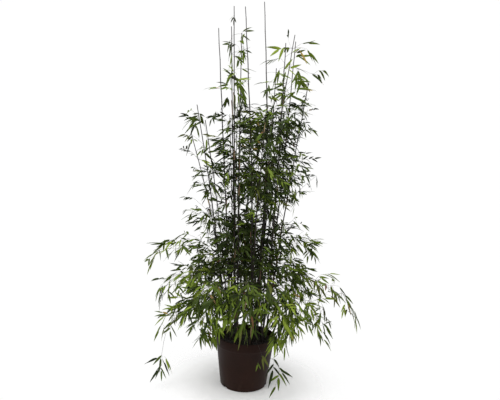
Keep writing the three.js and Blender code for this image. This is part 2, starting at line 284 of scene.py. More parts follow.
INSIDE_RIM = RIM_RADIUS - POT_WALL
pot = turned_body("pot_moulded", POT_SIDES, [
    (RECESS_RADIUS, RECESS_DEPTH),
    (RECESS_RADIUS + RECESS_DEPTH, 0),
    (FOOT_RADIUS - 2 * LIP_RADIUS, 0),
    *rounded(FOOT_RADIUS - LIP_RADIUS, LIP_RADIUS, -90, -30),
    (wall_radius(FOOT_CHAMFER) - CHAMFER_EDGE, FOOT_CHAMFER - CHAMFER_FALL),
    (wall_radius(FOOT_CHAMFER), FOOT_CHAMFER + CHAMFER_EDGE),
    (wall_radius(BAND_FOOT * 0.5), BAND_FOOT * 0.5),
    (wall_radius(BAND_FOOT - BAND_SLOPE), BAND_FOOT - BAND_SLOPE),
    (wall_radius(BAND_FOOT) + BAND_STEP * 0.35, BAND_FOOT - BAND_SLOPE * 0.45),
    (RIM_RADIUS - BAND_DRAFT, BAND_FOOT),
    *rounded(RIM_RADIUS - LIP_RADIUS, POT_TOP - LIP_RADIUS, 0, 90),
    *rounded(INSIDE_RIM + LIP_RADIUS, POT_TOP - LIP_RADIUS, 90, 180),
    (INSIDE_RIM - BAND_DRAFT / 2, BAND_FOOT + BAND_INSIDE_BLEND),
    (wall_radius(BAND_FOOT) - POT_WALL, BAND_FOOT - BAND_INSIDE_BLEND),
    (wall_radius(POT_FLOOR) - POT_WALL, POT_FLOOR),
])

for heading in NOTCH_HEADINGS:
    turn = math.radians(heading)
    arch_middle = NOTCH_HEIGHT - NOTCH_WIDTH / 2
    bpy.ops.object.select_all(action="DESELECT")
    bpy.ops.mesh.primitive_cylinder_add(
        vertices=32,
        radius=NOTCH_WIDTH / 2,
        depth=NOTCH_DEPTH,
        location=(FOOT_RADIUS * math.cos(turn), FOOT_RADIUS * math.sin(turn), arch_middle),
        rotation=(math.radians(90), 0, turn + math.radians(90)),
    )
    cutter = bpy.context.object
    bpy.ops.object.transform_apply(location=True, rotation=True, scale=True)
    bpy.ops.object.mode_set(mode="EDIT")
    pick(lambda place: place.z < arch_middle - 0.0001)
    bpy.ops.transform.translate(value=(0, 0, -NOTCH_WIDTH / 2))
    bpy.ops.object.mode_set(mode="OBJECT")
    only(pot)
    notch = pot.modifiers.new("drain_notch", "BOOLEAN")
    notch.operation = "DIFFERENCE"
    notch.object = cutter
    bpy.ops.object.modifier_apply(modifier=notch.name)
    bpy.data.objects.remove(cutter)

only(pot)
bpy.ops.object.shade_smooth_by_angle(angle=math.radians(40))

PLASTIC_BROWN = (0.0205, 0.0068, 0.0036, 1)
PLASTIC_DUSTY = (0.034, 0.019, 0.013, 1)
PLASTIC_DARK = (0.0155, 0.0053, 0.0028, 1)

plastic, shader = new_finish("pot_plastic", Specular_IOR_Level=0.13)
place = object_place(shader)
cloudy = place.noise(9.0, 4.0)
streaks = place.stretched((55, 55, 3.5)).noise(1.0, 4.0)
height = place.node("ShaderNodeSeparateXYZ", {}, {"Vector": place}, "Z")
splashed = (1 - height.between(0.0, 0.11)) * place.noise(70.0, 5.0).between(0.5, 0.72)
dusty = splashed * 0.55 + streaks.between(0.52, 0.78) * cloudy.between(0.42, 0.7) * 0.35
mottled = cloudy.between(0.3, 0.7).blend(PLASTIC_DARK, PLASTIC_BROWN)
dusty.blend(mottled, PLASTIC_DUSTY).feeds(shader, "Base Color")
(0.40 + cloudy * 0.10 + dusty * 0.30 + streaks * 0.06).feeds(shader, "Roughness")
grain = place.noise(900.0, 2.0) * 0.35 + place.stretched((1, 1, 0.2)).noise(24.0, 2.0)
grain.relief(0.0006, 0.35).feeds(shader, "Normal")
pot.data.materials.append(plastic)
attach(pot, "root")
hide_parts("pot")

# --------------------------------------------------------------------------- the compost
# Moist peat and bark, filled to a little below the rim and sunk unevenly by watering. Loose
# crumbs of bark lie on it.

SOIL_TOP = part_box("soil")[1].z
SOIL_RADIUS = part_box("soil")[1].x
SOIL_GAP = 0.001
SOIL_FOOT_RADIUS = wall_radius(0) - POT_WALL - SOIL_GAP
SOIL_FOOT_LIFT = 0.0006
SOIL_SIDES = 72
SUNK = 0.002
CRUMB_SUNK = 0.0025
CRUMB_MARGIN = 0.005
SOIL_RINGS = 16
CLOD_SIZE = 0.028
CLOD_HEIGHT = 0.009
CRUMBS = 520
CRUMB_SIZES = (0.0016, 0.0052)

dice = np.random.default_rng(41)

soil = turned_body("compost_filling", SOIL_SIDES, [
    (SOIL_FOOT_RADIUS, POT_FLOOR + SOIL_FOOT_LIFT),
    (wall_radius(BAND_FOOT) - POT_WALL - SOIL_GAP, BAND_FOOT - BAND_INSIDE_BLEND),
    *((SOIL_RADIUS * (1 - ring / SOIL_RINGS), SOIL_TOP - SUNK) for ring in range(SOIL_RINGS)),
])
clods = bpy.data.textures.new("clods", "CLOUDS")
clods.noise_scale = CLOD_SIZE
clods.noise_depth = 3
surface = soil.vertex_groups.new(name="surface")
top_corners = [v.index for v in soil.data.vertices if v.co.z > SOIL_TOP - SUNK - SOIL_GAP]
surface.add(top_corners, 1.0, "REPLACE")
unevenness = soil.modifiers.new("unevenness", "DISPLACE")
unevenness.texture = clods
unevenness.direction = "Z"
unevenness.strength = CLOD_HEIGHT
unevenness.mid_level = 0.62
unevenness.vertex_group = "surface"
only(soil)
bpy.ops.object.modifier_apply(modifier=unevenness.name)
bpy.ops.object.shade_smooth_by_angle(angle=math.radians(60))


def copies_of(template, placements):
    """The corners and faces of many copies of one mesh: a turn, a size and a place for each."""
    corners = np.array([v.co for v in template.vertices])
    faces = [tuple(p.vertices) for p in template.polygons]
    all_corners = []
    all_faces = []
    for turn, size, place_of_copy in placements:
        start = len(corners) * len(all_corners)
        all_corners.append(corners @ np.array(turn).T * size + np.array(place_of_copy))
        all_faces.extend(tuple(start + i for i in face) for face in faces)
    return np.concatenate(all_corners), all_faces


def joined_piece(name, corners, faces):
    """One piece from lists of corners and faces."""
    mesh = bpy.data.meshes.new(name)
    mesh.from_pydata(np.asarray(corners).tolist(), [], faces)
    mesh.update()
    piece = bpy.data.objects.new(name, mesh)
    bpy.context.scene.collection.objects.link(piece)
    return piece


def any_turn():
    """A random turn in space."""
    angles = dice.uniform(0, 2 * math.pi, 3)
    turn = Matrix.Rotation(angles[0], 3, "X") @ Matrix.Rotation(angles[1], 3, "Y")
    return turn @ Matrix.Rotation(angles[2], 3, "Z")


bpy.ops.object.select_all(action="DESELECT")
bpy.ops.mesh.primitive_ico_sphere_add(subdivisions=1, radius=1)
crumb = bpy.context.object
bpy.ops.object.mode_set(mode="EDIT")
bpy.ops.transform.resize(value=(1.0, 0.7, 0.45))
pick(lambda place: place.x > 0.4)
bpy.ops.transform.resize(value=(1.2, 0.6, 0.7))
bpy.ops.object.mode_set(mode="OBJECT")
scattered = []
for _ in range(CRUMBS):
    radius = (SOIL_RADIUS - CRUMB_MARGIN) * math.sqrt(dice.uniform(0, 1))
    angle = dice.uniform(0, 2 * math.pi)
    spot = (radius * math.cos(angle), radius * math.sin(angle), SOIL_TOP - CRUMB_SUNK)
    scattered.append((any_turn(), dice.uniform(*CRUMB_SIZES), spot))
crumbs = joined_piece("compost_crumbs", *copies_of(crumb.data, scattered))
bpy.data.objects.remove(crumb)

PEAT_DARK = (0.0075, 0.0055, 0.0045, 1)
PEAT_BROWN = (0.026, 0.018, 0.013, 1)
BARK_CRUMB = (0.050, 0.033, 0.022, 1)

peat, shader = new_finish("peat", Roughness=0.95)
place = object_place(shader)
place.noise(130.0, 5.0).between(0.38, 0.68).blend(PEAT_DARK, PEAT_BROWN).feeds(shader, "Base Color")
place.noise(420.0, 4.0).relief(0.004, 0.8).feeds(shader, "Normal")
soil.data.materials.append(peat)
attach(soil, "root")
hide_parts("soil")

bark_crumbs, shader = new_finish("bark_crumbs", Roughness=0.9)
place = object_place(shader)
place.noise(60.0, 2.0).between(0.35, 0.65).blend(PEAT_DARK, BARK_CRUMB).feeds(shader, "Base Color")
place.noise(700.0, 3.0).relief(0.001, 0.6).feeds(shader, "Normal")
crumbs.data.materials.append(bark_crumbs)
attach(crumbs, "root")

# ----------------------------------------------------------------------------- the canes
# Thin woody culms, near black below and greyer towards their bare tops. Each is a row of
# internodes joined at swollen nodes, where the scar of a fallen sheath leaves a thin ridge.

CANE_SIDES = 9
INTERNODE = [
    (1.00, 0.000),
    (1.20, 0.012),
    (1.26, 0.020),
    (1.02, 0.030),
    (1.10, 0.042),
    (1.00, 0.065),
    (0.96, 0.300),
    (0.96, 0.700),
    (1.00, 0.960),
    (1.00, 1.000),
]
INTERNODE_SHORT = 0.045
INTERNODE_LONG = 0.135
NODE_ZIGZAG = 0.0011
SWELLING = 1.10
RING_GAP = 0.05
LINE_STEPS = 12
INNER_TOP = 1.40
INNER_TOP_SPREAD = (-0.06, 0.03)
INNER_TIP_RADIUS = 0.0012
INNER_SWAY = 0.006
RADIUS_MARKS = 25
SPROUT_LOWEST = 0.27


def cane_rings(node):
    """The middle and the radius of each ring of a CAD cane, from its foot to its tip."""
    places = {tuple(round(x, 5) for x in v.co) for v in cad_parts[node].data.vertices}
    rings = []
    for place_of_corner in sorted(places, key=lambda p: p[2]):
        if not rings or place_of_corner[2] - rings[-1][-1][2] > RING_GAP:
            rings.append([])
        rings[-1].append(place_of_corner)
    middles = [np.mean(ring, axis=0) for ring in rings]
    radii = [np.mean(np.linalg.norm(np.array(r) - m, axis=1)) for r, m in zip(rings, middles)]
    return middles, radii


def smooth_line(points, steps):
    """A smooth line through the points, with so many steps from each to the next."""
    ends = [2 * points[0] - points[1], *points, 2 * points[-1] - points[-2]]
    line = []
    for before, start, end, after in zip(ends, ends[1:], ends[2:], ends[3:]):
        for step in range(steps):
            t = step / steps
            bend = (2 * before - 5 * start + 4 * end - after) * t * t
            twist = (3 * start - before - 3 * end + after) * t ** 3
            line.append(0.5 * (2 * start + (end - before) * t + bend + twist))
    line.append(points[-1])
    return np.array(line)


def node_heights(length):
    """How far along a cane its nodes are: close together at the foot and the tip."""
    marks = [0.0]
    while marks[-1] < length:
        share = math.sin(math.pi * min(marks[-1] / length, 1.0)) ** 0.6
        spread = INTERNODE_SHORT + (INTERNODE_LONG - INTERNODE_SHORT) * share
        marks.append(marks[-1] + spread * dice.uniform(0.88, 1.12))
    return np.array(marks) * length / marks[-1]


def along(line, marks):
    """The places on a line at these distances from its start."""
    steps = np.linalg.norm(np.diff(line, axis=0), axis=1)
    gone = np.concatenate([[0.0], np.cumsum(steps)])
    return np.stack([np.interp(marks, gone, line[:, axis]) for axis in range(3)], axis=1)


internode = turned_body("internode", CANE_SIDES, INTERNODE, fill="NOTHING")
SLEEVE_BASE = (0.0090, 0.0065, 0.0050, 1)
CANE_PURPLE = (0.021, 0.015, 0.012, 1)
CANE_GREY = (0.088, 0.082, 0.084, 1)
CANE_BLOOM = (0.10, 0.095, 0.088, 1)
BLOOM_WIDTH = 0.007

cane_bark, shader = new_finish("cane_bark", Specular_IOR_Level=0.25)
place = object_place(shader)
fibres = place.stretched((420, 420, 14)).noise(1.0, 4.0)
patches = place.stretched((60, 60, 9)).noise(1.0, 3.0)
height = place.node("ShaderNodeSeparateXYZ", {}, {"Vector": place}, "Z")
gap = place.node("ShaderNodeAttribute", {"attribute_name": "node_gap"}, {}, "Fac")
bare_top = height.between(1.35, 1.90) * 0.85
body_colour = patches.between(0.3, 0.7).blend(SLEEVE_BASE, CANE_PURPLE)
weathered = bare_top.blend(body_colour, CANE_GREY)
bloom = (1 - gap.between(0.0, BLOOM_WIDTH)) * gap.between(0.0004, 0.0016) * 0.6
dusted = (bloom + fibres.between(0.6, 0.8) * 0.18).blend(weathered, CANE_BLOOM)
dusted.feeds(shader, "Base Color")
(0.36 + fibres * 0.16 + bloom * 0.3).feeds(shader, "Roughness")
(fibres + patches * 0.5).relief(0.0004, 0.5).feeds(shader, "Normal")

sprout_places = []
sprout_ways = []
sprout_canes = []
sheath_places = []
cane_lines = {}
for name in sorted(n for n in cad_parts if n.startswith("cane_")):
    middles, radii = cane_rings(name)
    if name.startswith("cane_inner"):
        run = middles[-1] - middles[0]
        top = INNER_TOP + dice.uniform(*INNER_TOP_SPREAD)
        middles = [middles[0], middles[0] + run / run[2] * (top - middles[0][2])]
        radii = [radii[0], INNER_TIP_RADIUS]
        middles.insert(1, (middles[0] + middles[1]) / 2 + np.append(dice.normal(0, INNER_SWAY, 2), 0))
    line = smooth_line(middles, LINE_STEPS)
    length = np.linalg.norm(np.diff(line, axis=0), axis=1).sum()
    marks = node_heights(length)
    joints_of_cane = along(line, marks)
    lean = dice.uniform(0, 2 * math.pi)
    sway = np.array([math.cos(lean), math.sin(lean), 0]) * NODE_ZIGZAG
    joints_of_cane[1:-1:2] += sway
    joints_of_cane[2:-1:2] -= sway
    shares = np.linspace(0, 1, RADIUS_MARKS)
    bodies = np.interp(shares, np.linspace(0, 1, len(radii)), radii)

    only(internode)
    bpy.ops.object.duplicate()
    cane = bpy.context.object
    cane.name = name.replace("cane", "culm")
    row = cane.modifiers.new("internodes", "ARRAY")
    row.count = len(marks) - 1
    row.use_relative_offset = False
    row.use_constant_offset = True
    row.constant_offset_displace = (0, 0, 1)
    row.use_merge_vertices = True
    row.merge_threshold = 0.0005
    bpy.ops.object.modifier_apply(modifier=row.name)
    bpy.ops.object.mode_set(mode="EDIT")
    bpy.ops.mesh.select_all(action="SELECT")
    bpy.ops.mesh.fill_holes(sides=0)
    bpy.ops.mesh.normals_make_consistent(inside=False)
    bpy.ops.object.mode_set(mode="OBJECT")

    raw = np.array([v.co for v in cane.data.vertices])
    counts = np.arange(len(marks))
    at = np.interp(raw[:, 2], counts, marks)
    centres = np.stack([np.interp(raw[:, 2], counts, joints_of_cane[:, k]) for k in range(3)], axis=1)
    curve_pull = along(line, at) - along(along(line, marks), at)
    widths = np.interp(at / length, shares, bodies) * SWELLING
    centres = centres + curve_pull
    placed = centres + np.column_stack([raw[:, 0] * widths, raw[:, 1] * widths, np.zeros(len(raw))])
    cane.data.vertices.foreach_set("co", placed.ravel())
    gaps = np.abs(at[:, None] - marks[None, :]).min(axis=1)
    attribute = cane.data.attributes.new("node_gap", "FLOAT", "POINT")
    attribute.data.foreach_set("value", gaps.astype(np.float32))
    cane.data.update()
    only(cane)
    bpy.ops.object.shade_smooth()
    cane.data.materials.append(cane_bark)
    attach(cane, "root")
    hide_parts(name)

    cane_lines[name] = (line, length)
    for i, joint in enumerate(joints_of_cane[:-1]):
        way = joints_of_cane[i + 1] - joint
        way = way / np.linalg.norm(way)
        width = np.interp(marks[i] / length, shares, bodies)
        sheath_places.append((joint, way, width))
        if joint[2] > SPROUT_LOWEST:
            sprout_places.append(joint)
            sprout_ways.append(way)
            sprout_canes.append(name)
bpy.data.objects.remove(internode)

# --------------------------------------------------------------------------- the sheaths
# Papery husks of the culm. They wrapped each young internode, and the ones that haven't
# fallen still clasp their node, dried to straw and reddish brown.

SHEATH_SIDES = 8
SHEATH_LENGTH = 0.062
SHEATH_LENGTHS = (0.6, 1.25)
SHEATH_THICKNESS = 0.0003
SHEATH_SHARE = 0.26
SHEATH_TOP = 1.45
HUSK_STRAW = (0.34, 0.25, 0.13, 1)
HUSK_TAN = (0.20, 0.13, 0.070, 1)
HUSK_RED = (0.115, 0.050, 0.028, 1)

sheath = turned_body("sheath", SHEATH_SIDES, [
    (1.30, 0.00),
    (1.42, 0.10),
    (1.55, 0.40),
    (1.70, 0.72),
    (1.95, 1.00),
], fill="NOTHING")
bpy.ops.object.mode_set(mode="EDIT")
pick(lambda place: place.x < -0.6 and place.z > 0.05)
bpy.ops.mesh.delete(type="VERT")
pick(lambda place: place.z > 0.85)
bpy.ops.transform.resize(value=(0.5, 0.16, 1))
bpy.ops.transform.translate(value=(1.1, 0, 0.1))
pick(lambda place: 0.6 < place.z < 0.8)
bpy.ops.transform.resize(value=(0.9, 0.6, 1))
bpy.ops.transform.translate(value=(0.4, 0, 0))
bpy.ops.object.mode_set(mode="OBJECT")

clasping = []
for joint, way, width in sheath_places:
    if joint[2] > SHEATH_TOP or dice.uniform() > SHEATH_SHARE:
        continue
    turn = Vector(way).to_track_quat("Z", "Y").to_matrix()
    turn = turn @ Matrix.Rotation(dice.uniform(0, 2 * math.pi), 3, "Z")
    tall = SHEATH_LENGTH * dice.uniform(*SHEATH_LENGTHS) / width
    turn = turn @ Matrix.Diagonal((1, 1, tall))
    clasping.append((turn, width, joint))
corners, faces = copies_of(sheath.data, clasping)
bpy.data.objects.remove(sheath)
sheaths = joined_piece("culm_sheaths", corners, faces)
only(sheaths)
papery = sheaths.modifiers.new("papery", "SOLIDIFY")
papery.thickness = SHEATH_THICKNESS
bpy.ops.object.modifier_apply(modifier=papery.name)
bpy.ops.object.shade_smooth_by_angle(angle=math.radians(50))

husk, shader = new_finish("sheath_husk", Roughness=0.62)
place = object_place(shader)
veins = place.stretched((900, 900, 30)).noise(1.0, 3.0)
age = place.noise(11.0, 1.0)
dried = age.between(0.40, 0.60).blend(HUSK_RED, HUSK_STRAW)
veins.between(0.35, 0.75).blend(dried, HUSK_TAN).feeds(shader, "Base Color")
veins.relief(0.0004, 0.5).feeds(shader, "Normal")
sheaths.data.materials.append(husk)
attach(sheaths, "root")

# ----------------------------------------------------------------- the boughs and twigs
# Thin woody side branches sprout from the nodes of the canes, climb a little, arch over and
# fork again and again. Each ends in a short twig that carries one spray of leaves.

MASSES = sorted(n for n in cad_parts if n.split("_")[0] not in ("pot", "soil", "cane"))
SPRAYS_PER_LITRE = {
    "crown": 6, "crown_left_high": 14, "crown_left_low": 8,
    "column": 17, "column_low_left": 20, "column_low_right": 11, "column_high": 14, "column_high_right": 12,
    "waist": 29, "waist_right": 18, "shoulder": 8, "shoulder_back": 6, "shoulder_right": 3, "shoot": 9,
    "skirt": 12, "skirt_left": 8, "skirt_left_low": 12, "skirt_front": 17,
    "skirt_right": 8, "skirt_right_low": 8, "skirt_right_far": 8,
    "dangle": 14, "dangle_right": 12, "dangle_over_pot": 8,
}
INSET = {
    "crown": 0.014, "crown_left_high": 0.009, "column": 0.020, "waist": 0.012,
    "shoulder": 0.014, "shoulder_left": 0.007, "shoot": 0.012,
    "skirt": 0.016, "skirt_right_far": 0.010, "dangle": 0.004,
}
HANGING_ROOM = {"": 0.0, "skirt": 0.042, "skirt_front": 0.038, "skirt_right_far": 0.02}
TOP_SHARE = {"": 1.0, "shoulder_right": 0.62, "dangle_left": 0.5, "dangle_over_pot": 0.8}
SPACING = 0.55
TRIES = 90
INSIDE_STEPS = 5
PATH_SHARE = 0.45
TURN_COST = 0.55
SPROUT_RISE = 0.75
TWIG_RADIUS = 0.00042
FORK_POWER = 0.40
THICKEST_TWIG = 0.0024
ARC_STEPS = 4
ARC_LEAD = 0.42

SIX_WAYS = [Vector(w) for w in ((1, 0, 0), (-1, 0, 0), (0, 1, 0), (0, -1, 0), (0, 0, 1), (0, 0, -1))]
PROBE = Vector((0.57, 0.31, 0.76)).normalized()
BOX_SLACK = 0.024
LOWEST_LEAF = 0.003
low_limit = np.array(cad_bounds[0]) - BOX_SLACK
high_limit = np.array(cad_bounds[1]) + BOX_SLACK
low_limit[2] = LOWEST_LEAF


def of_mass(table, mass):
    """The value whose key is the longest beginning of the mass's name."""
    return table[max((key for key in table if mass.startswith(key)), key=len)]


def inside(tree, point):
    """Whether a point is in a closed solid: a line out of it then crosses an odd number of faces."""
    crossings = 0
    hit = tree.ray_cast(point, PROBE)[0]
    while hit is not None:
        crossings += 1
        hit = tree.ray_cast(hit + PROBE * 0.00001, PROBE)[0]
    return crossings % 2 == 1


def spray_places(node):
    """Evenly scattered places well inside a mass, one for each spray."""
    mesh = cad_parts[node].data
    corners = [v.co for v in mesh.vertices]
    faces = [tuple(p.vertices) for p in mesh.polygons]
    tree = BVHTree.FromPolygons(corners, faces)
    volume = sum(corners[a].dot(corners[b].cross(corners[c])) for a, b, c in faces) / 6
    wanted = max(round(volume * 1000 * of_mass(SPRAYS_PER_LITRE, node)), 2)
    apart = SPACING * (volume / wanted) ** (1 / 3)
    reach = of_mass(INSET, node)
    drop = Vector((0, 0, -of_mass(HANGING_ROOM, node)))
    low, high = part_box(node)
    high.z = low.z + (high.z - low.z) * of_mass(TOP_SHARE, node)
    found = []
    for _ in range(wanted * TRIES):
        if len(found) == wanted:
            break
        point = low + Vector(dice.uniform(0, 1, 3)) * (high - low)
        if not inside(tree, point) or not inside(tree, point + drop):
            continue
        if any((point - other).length < apart for other in found):
            continue
        if sum(inside(tree, point + way * reach) for way in SIX_WAYS) >= INSIDE_STEPS:
            found.append(point)
    return [np.array(p) for p in found]


mass_of = []
places = []
for mass in MASSES:
    found = spray_places(mass)
    places.extend(found)
    mass_of.extend([mass] * len(found))
places = np.array(places)
roots = np.array(sprout_places)
root_ways = np.array(sprout_ways)


def unit(vectors):
    """Vectors of length one."""
    return vectors / np.maximum(np.linalg.norm(vectors, axis=-1, keepdims=True), 1e-9)


def reach_cost(start, way, path, ends):
    """What it costs a branch to grow from a point to each end: length, turning and length so far."""
    steps = ends - start
    ahead = (unit(steps) * way).sum(axis=1)
    return np.linalg.norm(steps, axis=1) * (1 + TURN_COST * (1 - ahead)) + PATH_SHARE * path


def arc(start, leaving, end):
    """A branch that leaves its start that way and bends over to its end, and its last way."""
    lead = start + leaving * np.linalg.norm(end - start) * ARC_LEAD
    lead = np.clip(lead, low_limit, high_limit)
    t = np.linspace(0, 1, ARC_STEPS + 1)[:, None]
    return (1 - t) ** 2 * start + 2 * t * (1 - t) * lead + t ** 2 * end, unit(end - lead)


count = len(places)
cost = np.full(count, np.inf)
parent = np.zeros(count, int)
grown = np.zeros(count, bool)
ways = np.zeros((count, 3))
paths = np.zeros(count)
for i, root in enumerate(roots):
    outward = (places - root) * (1, 1, 0)
    leaving = unit(root_ways[i] * SPROUT_RISE + unit(outward))
    offer = reach_cost(root, leaving, 0.0, places)
    better = offer < cost
    cost[better] = offer[better]
    parent[better] = -1 - i

order = []
arcs = {}
for _ in range(count):
    j = int(np.argmin(np.where(grown, np.inf, cost)))
    if parent[j] < 0:
        start = roots[-1 - parent[j]]
        flat = (places[j] - start) * (1, 1, 0)
        leaving = unit(root_ways[-1 - parent[j]] * SPROUT_RISE + unit(flat))
        before = 0.0
    else:
        start = places[parent[j]]
        leaving = ways[parent[j]]
        before = paths[parent[j]]
    arcs[j], ways[j] = arc(start, leaving, places[j])
    paths[j] = before + np.linalg.norm(places[j] - start)
    grown[j] = True
    order.append(j)
    offer = reach_cost(places[j], ways[j], paths[j], places)
    better = (offer < cost) & ~grown
    cost[better] = offer[better]
    parent[better] = j

carried = np.ones(count)
for j in reversed(order):
    if parent[j] >= 0:
        carried[parent[j]] += carried[j]
branch_radii = np.minimum(TWIG_RADIUS * carried ** FORK_POWER, THICKEST_TWIG)

heir = {}
for j in order:
    if parent[j] >= 0:
        rival = heir.get(parent[j])
        if rival is None or carried[j] > carried[rival]:
            heir[parent[j]] = j

twig_runs = {mass: [] for mass in MASSES}
sprays = {mass: [] for mass in MASSES}
for j in order:
    sprays[mass_of[j]].append((places[j], ways[j]))
    if parent[j] >= 0 and heir[parent[j]] == j:
        continue
    line = [arcs[j][0]]
    thick = [branch_radii[j]]
    link = j
    while link is not None:
        line.extend(arcs[link][1:])
        after = heir.get(link)
        end_radius = branch_radii[after] if after is not None else TWIG_RADIUS
        thick.extend(np.linspace(branch_radii[link], end_radius, ARC_STEPS + 1)[1:])
        link = after
    twig_runs[mass_of[j]].append((line, thick))

# The short branches that every node of the clump bears, close to the canes, and a few sprigs.
CLUMP_LOW = 0.29
CLUMP_TOP = {
    "cane_inner": 1.27, "cane_tall": 1.33, "cane_tall_1": 0.80, "cane_tall_6": 1.27,
    "cane_leafy": 1.40, "cane_arching": 1.20,
}
LONG_BELOW = 1.0
LOW_REACH = (0.10, 0.26)
HIGH_REACH = (0.06, 0.15)
BUSHY_BELOW = 0.60
BUSHIEST_BELOW = 0.40
CLUMP_BRANCH_RADIUS = 0.0009
CLUMP_SPRAYS_AT = (0.45, 0.72, 1.0)
CLUMP_SPRAYS_MISSING = 0.20
CLUMP_LEAN = (0.25, 0.6)
CLUMP_BOW = 0.22
CLUMP_SAG = 0.18
CLUMP_SCATTER = 0.45
NO_SPRIGS = ("", 9, 9)
SPRIGS = {
    "cane_tall_1": ("sprig", 1.70, 1.80), "cane_tall_3": ("sprig", 1.80, 1.86),
    "cane_arching_1": ("shoot_tip", 1.28, 1.42), "cane_arching_2": ("shoot_tip", 1.18, 1.30),
}
SPRIG_REACH = (0.012, 0.03)

for kind in ("clump", "sprig", "shoot_tip"):
    twig_runs[kind] = []
    sprays[kind] = []
for root, root_way, cane_name in zip(roots, root_ways, sprout_canes):
    kind, sprig_low, sprig_high = SPRIGS.get(cane_name, NO_SPRIGS)
    if sprig_low < root[2] < sprig_high:
        branches = 1
        reaches = SPRIG_REACH
    elif CLUMP_LOW < root[2] < of_mass(CLUMP_TOP, cane_name):
        kind = "clump"
        branches = dice.integers(1, 3) + int(root[2] < BUSHY_BELOW) + int(root[2] < BUSHIEST_BELOW)
        reaches = LOW_REACH if root[2] < LONG_BELOW else HIGH_REACH
    else:
        continue
    for _ in range(branches):
        heading = dice.uniform(0, 2 * math.pi)
        sideways = np.array([math.cos(heading), math.sin(heading), 0])
        reach = dice.uniform(*reaches)
        leaving = unit(root_way + sideways * dice.uniform(*CLUMP_LEAN))
        end = root + leaving * reach + sideways * reach * CLUMP_BOW - np.array([0, 0, CLUMP_SAG * reach])
        line, last_way = arc(root, leaving, end)
        twig_runs[kind].append((line, np.linspace(CLUMP_BRANCH_RADIUS, TWIG_RADIUS, ARC_STEPS + 1)))
        for share in CLUMP_SPRAYS_AT:
            if share == 1.0 or dice.uniform() > CLUMP_SPRAYS_MISSING:
                knot = along(line, [share * reach])[0]
                sprays[kind].append((knot, unit(last_way + dice.normal(0, CLUMP_SCATTER, 3))))

TWIG_DARK = (0.022, 0.017, 0.014, 1)
TWIG_OLIVE = (0.070, 0.062, 0.030, 1)

twig_bark, shader = new_finish("twig_bark", Roughness=0.55, Specular_IOR_Level=0.3)
place = object_place(shader)
ripe = place.stretched((30, 30, 8)).noise(1.0, 2.0)
ripe.between(0.45, 0.70).blend(TWIG_DARK, TWIG_OLIVE).feeds(shader, "Base Color")
place.stretched((500, 500, 40)).noise(1.0, 2.0).relief(0.0003, 0.4).feeds(shader, "Normal")


def tubes(name, lines):
    """One piece of many thin tapering tubes. Each line is its points and their radii."""
    drawn = bpy.data.curves.new(name, "CURVE")
    drawn.dimensions = "3D"
    drawn.bevel_depth = 1.0
    drawn.bevel_resolution = 0
    drawn.use_fill_caps = True
    for points, widths in lines:
        spline = drawn.splines.new("POLY")
        spline.points.add(len(points) - 1)
        spline.points.foreach_set("co", np.column_stack([points, np.ones(len(points))]).ravel())
        spline.points.foreach_set("radius", np.asarray(widths, float))
    piece = bpy.data.objects.new(name, drawn)
    bpy.context.scene.collection.objects.link(piece)
    only(piece)
    bpy.ops.object.convert(target="MESH")
    return bpy.context.object


# ---------------------------------------------------------------------------- the leaves
# Narrow pointed blades, folded along the midrib, on short stalks. Two to five of them sit
# in two rows at the end of each twig: nearly level in the crown, and hanging in the skirt.

LEAF_LENGTH = 0.057
LEAF_WIDTH = 0.0110
LEAF_FOLD = 0.30
WIDEST_AT = 0.62
BLUNTNESS = 0.85
TIP_FROM = 0.85
LEAF_STATIONS = (0.0, 0.07, 0.20, 0.42, 0.68, 0.88, 1.0)
LEAVES_PER_SPRAY = {
    "crown": (2, 4), "column": (3, 5), "waist": (3, 5), "shoulder": (2, 4), "shoot": (2, 4),
    "skirt": (2, 4), "skirt_front": (2, 5), "dangle": (2, 3), "clump": (2, 4), "sprig": (1, 2),
}
HANG = {
    "crown": 0.36, "column": 0.40, "waist": 0.50, "shoulder": 0.45, "shoulder_left": 0.75, "shoot": 0.30,
    "skirt": 0.52, "skirt_front": 0.60, "dangle": 0.9, "clump": 0.35, "sprig": 0.5, "shoot_tip": 0.75,
}
LEAF_SIZE = {
    "crown": 1.08, "crown_left_high": 0.90, "column": 0.66, "waist": 0.72, "shoulder": 0.96, "shoot": 0.98,
    "skirt": 0.91, "skirt_front": 0.90, "dangle": 1.08, "clump": 0.66, "sprig": 0.45,
}
LEAF_STEP = 0.014
SPLAY_LEAST = math.radians(12)
SPLAY_MOST = math.radians(44)
STEEPEST_RISE = 0.12
COMB_SHARE = 0.40
HANGS = (0.7, 1.2)
YIELDING = 0.4
LOOSENESS = 0.35
SPLAYS = (0.75, 1.25)
LAST_SPLAY = 0.3
FIRST_LEAF_AT = 0.4
FACING_OUT = 0.45
FACING_UP = 0.40
FACING_SCATTER = 0.50
LEAF_SCATTER = 0.07
LEAF_TURN = 0.36
LEAF_TWIST = 0.4
DROOP = (0.04, 0.28)
SPRAY_LENGTHS = (0.82, 1.18)
LEAF_LENGTHS = (0.82, 1.15)
LEAF_WIDTHS = (0.88, 1.12)
WIDTH_POWER = 0.6
POT_CLEAR_RADIUS = 0.156
POT_CLEAR_HEIGHT = 0.258

